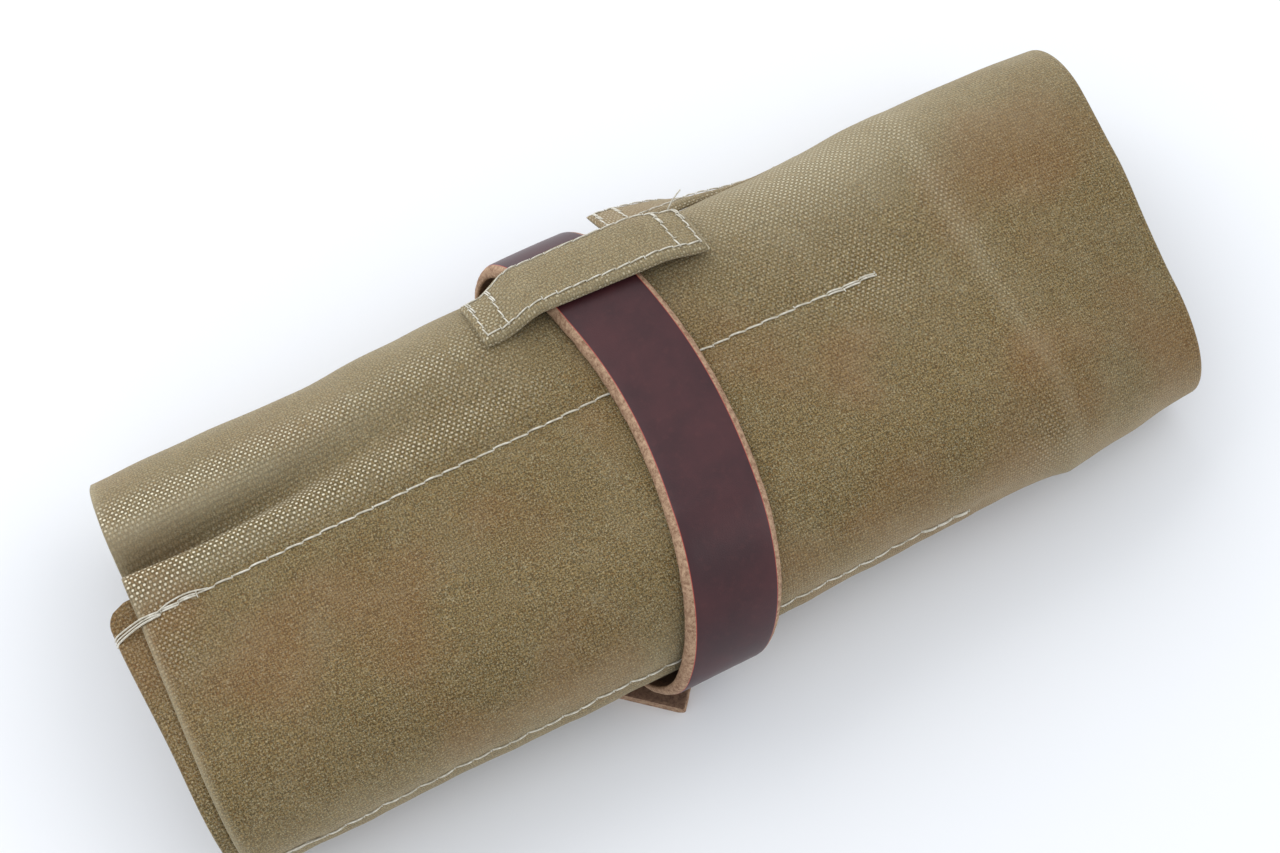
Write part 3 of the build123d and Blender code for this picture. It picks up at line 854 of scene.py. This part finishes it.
def strap_frames(s_values):
    """Centre line, outward normal and sideways direction at each length."""
    points, normals, sides = [], [], []
    total = STRAP_END + TABLE_LENGTH
    for s in s_values:
        point, normal = strap_point(s)
        along = strap_point(min(s + 0.4, total))[0] - strap_point(max(s - 0.4, 0))[0]
        side = np.cross(along, normal)
        side /= np.linalg.norm(side)
        points.append(point)
        normals.append(normal)
        sides.append(side if side[0] > 0 else -side)
    return np.array(points), np.array(normals), np.array(sides)


def strap_section():
    """Closed outline (across, height, zone): grain face, raw edge, flesh face, raw edge."""
    half, t = STRAP_W / 2, STRAP_T
    top = [(u, t + 0.25 * (1 - (u / half) ** 2), 0.0) for u in np.linspace(-half + 2.3, half - 2.3, 13)]
    right = [(half - 1.9, t, 0.0), (half - 1.7, t - 0.05, 0.16), (half - 1.45, t - 0.18, 0.6),
             (half - 0.9, t - 0.42, 1.0), (half - 0.3, t - 0.95, 1.0), (half, t * 0.5, 1.0),
             (half + 0.15, t * 0.25, 1.0), (half + 0.1, 0.1, 1.1), (half - 0.4, 0.0, 1.6)]
    bottom = [(u, 0.05, 2.0) for u in np.linspace(half - 1.2, -half + 1.2, 9)]
    left = [(-u, v, w) for u, v, w in right[::-1]]
    return np.array(top + right + bottom + left)


def strap_piece(name, s0, s1, cap_start, cap_end, *nodes):
    section = strap_section()
    s = lengths((s0, 1.1), (s1, 1))
    points, normals, sides = strap_frames(s)
    rough = section[:, 2] > 0.2
    body = np.zeros((len(s), len(section), 3))
    for i in range(len(s)):
        for j, (u, v, w) in enumerate(section):
            p = points[i] + sides[i] * u + normals[i] * v
            if rough[j]:
                fuzz = noise.noise(Vector((s[i] * 0.9, j * 3.1, 5.0))) * 0.14
                fuzz += noise.noise(Vector((s[i] * 0.25, j * 0.4, 9.0))) * 0.16
                p = p + sides[i] * np.sign(u) * fuzz * (abs(u) > STRAP_W / 2 - 0.6)
                p = p - normals[i] * abs(fuzz) * 0.5 * (w > 1.2)
            body[i, j] = p
    rows, columns = body.shape[:2]
    faces = [tuple(f) for f in grid_faces(rows, columns, wrap=True, flip=True)]
    everything = [body.reshape(-1, 3)]
    zones = [np.tile(section[:, 2], rows)]
    count = rows * columns
    for cap, row in ((cap_start, 0), (cap_end, rows - 1)):
        if not cap:
            continue
        ring = body[row]
        middle = ring.mean(0)
        rings = [middle + (ring - middle) * k for k in (0.985, 0.8, 0.5)]
        start = row * columns
        for inner in rings:
            everything.append(inner)
            zones.append(np.full(columns, 1.0))
            for j in range(columns):
                k = (j + 1) % columns
                quad = (start + j, count + j, count + k, start + k)
                faces.append(quad if row else quad[::-1])
            start, count = count, count + columns
        everything.append(middle[None])
        zones.append(np.full(1, 1.0))
        for j in range(columns):
            k = (j + 1) % columns
            faces.append((start + j, count, start + k) if row else (start + k, count, start + j))
        count += 1
    uv = np.stack(np.broadcast_arrays(s[:, None], section[None, :, 0]), -1).reshape(-1, 2)
    points_all = np.concatenate(everything)
    uv = np.concatenate([uv, np.zeros((len(points_all) - len(uv), 2))])
    obj = mesh_object(name, points_all, faces, uv, {"zone": np.concatenate(zones)})
    return finish_piece(obj, LEATHER_LOOK, "strap_leather", *nodes)


FRONT_HINGE_S = TOP_S + 6.0
BACK_HINGE_S = DROP_S + radians(22) * BACK_ARCH_R
UNDER_HINGE_S = BASE_S + radians(72) * BASE_R
TAIL_HINGE_S = STRAP_END + TABLE_LENGTH - 30.0
BEND_REACH = 4.0                 # points this far to each side of a hinge are looked up; nothing is bent


def blend_at(obj, s, first, second):
    start, end = strap_point(s + BEND_REACH)[0], strap_point(s - BEND_REACH)[0]
    if "strap_back" in (first, second) or first == "strap_under":
        start, end = end, start
    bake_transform(obj)


def strap():
    total = STRAP_END + TABLE_LENGTH
    cuts = [0, KEEPER_S, (BACK_HINGE_S + UNDER_HINGE_S) / 2, (UNDER_HINGE_S + TAIL_HINGE_S) / 2, total]
    front = strap_piece("leather_front", cuts[0], cuts[1], True, False, "strap_front", "strap_top")
    back = strap_piece("leather_back", cuts[1], cuts[2], False, False, "strap_back")
    under = strap_piece("leather_under", cuts[2], cuts[3], False, False, "strap_under")
    tail = strap_piece("leather_tail", cuts[3], cuts[4], False, True, "strap_tail")
    blend_at(front, FRONT_HINGE_S, "strap_top", "strap_front")
    blend_at(back, BACK_HINGE_S, "strap_top", "strap_back")
    blend_at(under, UNDER_HINGE_S, "strap_back", "strap_under")
    blend_at(tail, TAIL_HINGE_S, "strap_under", "strap_tail")


# ---------------------------------------------------------------- stage, light and camera
WORLD_COLOUR, WORLD_LIGHT = (0.93, 0.96, 1.0, 1), 0.93
LAMPS = (("window", (-0.6, 1.6, 1.05), 2.2, 25),      # name, place and size in metres, watts
         ("fill", (1.2, -0.6, 1.6), 1.6, 7))
CAMERA_AZIMUTH, CAMERA_ELEVATION, CAMERA_ROLL = radians(-28.2), radians(63.5), radians(0.4)
CAMERA_AIM = (-5.6, 6.65, 25.0)                       # from the middle of the roll's base, mm
CAMERA_DISTANCE, LENS, SENSOR = 0.655, 70, 36


def studio():
    bpy.ops.mesh.primitive_plane_add(size=6, location=(0, 0, 0))
    floor = bpy.context.object
    floor.name = "floor"
    material, tree = tree_of("floor")
    surface(tree, (0.86, 0.87, 0.89, 1), 0.9, None, Specular_IOR_Level=0.1)
    floor.data.materials.append(material)
    world = bpy.data.worlds.new("studio")
    bpy.context.scene.world = world
    world.use_nodes = True
    world.node_tree.nodes["Background"].inputs[0].default_value = WORLD_COLOUR
    world.node_tree.nodes["Background"].inputs[1].default_value = WORLD_LIGHT
    for name, place, size, power in LAMPS:
        light = bpy.data.lights.new(name, "AREA")
        light.size, light.energy = size, power
        lamp = bpy.data.objects.new(name, light)
        lamp.location = place
        lamp.rotation_euler = (-Vector(place)).to_track_quat("-Z", "Y").to_euler()
        bpy.context.scene.collection.objects.link(lamp)


def camera():
    level = cos(CAMERA_ELEVATION)
    back = Vector((sin(CAMERA_AZIMUTH) * level, -cos(CAMERA_AZIMUTH) * level, sin(CAMERA_ELEVATION)))
    right = Vector((cos(CAMERA_AZIMUTH), sin(CAMERA_AZIMUTH), 0))
    up = back.cross(right)
    x_axis = right * cos(CAMERA_ROLL) + up * sin(CAMERA_ROLL)
    y_axis = back.cross(x_axis)
    aim_x, aim_y, aim_z = CAMERA_AIM
    target = Vector((MID_X + aim_x, MID_Y + aim_y, aim_z)) * MM
    data = bpy.data.cameras.new("camera")
    data.lens, data.sensor_width = LENS, SENSOR
    obj = bpy.data.objects.new("camera", data)
    turn = Matrix((x_axis, y_axis, back)).transposed().to_4x4()
    obj.matrix_world = Matrix.Translation(target + back * CAMERA_DISTANCE) @ turn
    bpy.context.scene.collection.objects.link(obj)
    bpy.context.scene.camera = obj


camera()
studio()
outer_shell()
pocket_panel()
divider_seams()
edge_seams()
top_keeper = keeper("canvas_keeper_top", "keeper_top", TOP_KEEPER_X, keeper_loop, 3)
keeper_thread("keeper_top_thread", "keeper_top_stitches", top_keeper, 61, True)
back_keeper = keeper("canvas_keeper_back", "keeper_back", BACK_KEEPER_X, leaning_tab, 8)
keeper_thread("keeper_back_thread", "keeper_back_stitches", back_keeper, 62)
strap()
bpy.context.scene.view_settings.view_transform = "Standard"
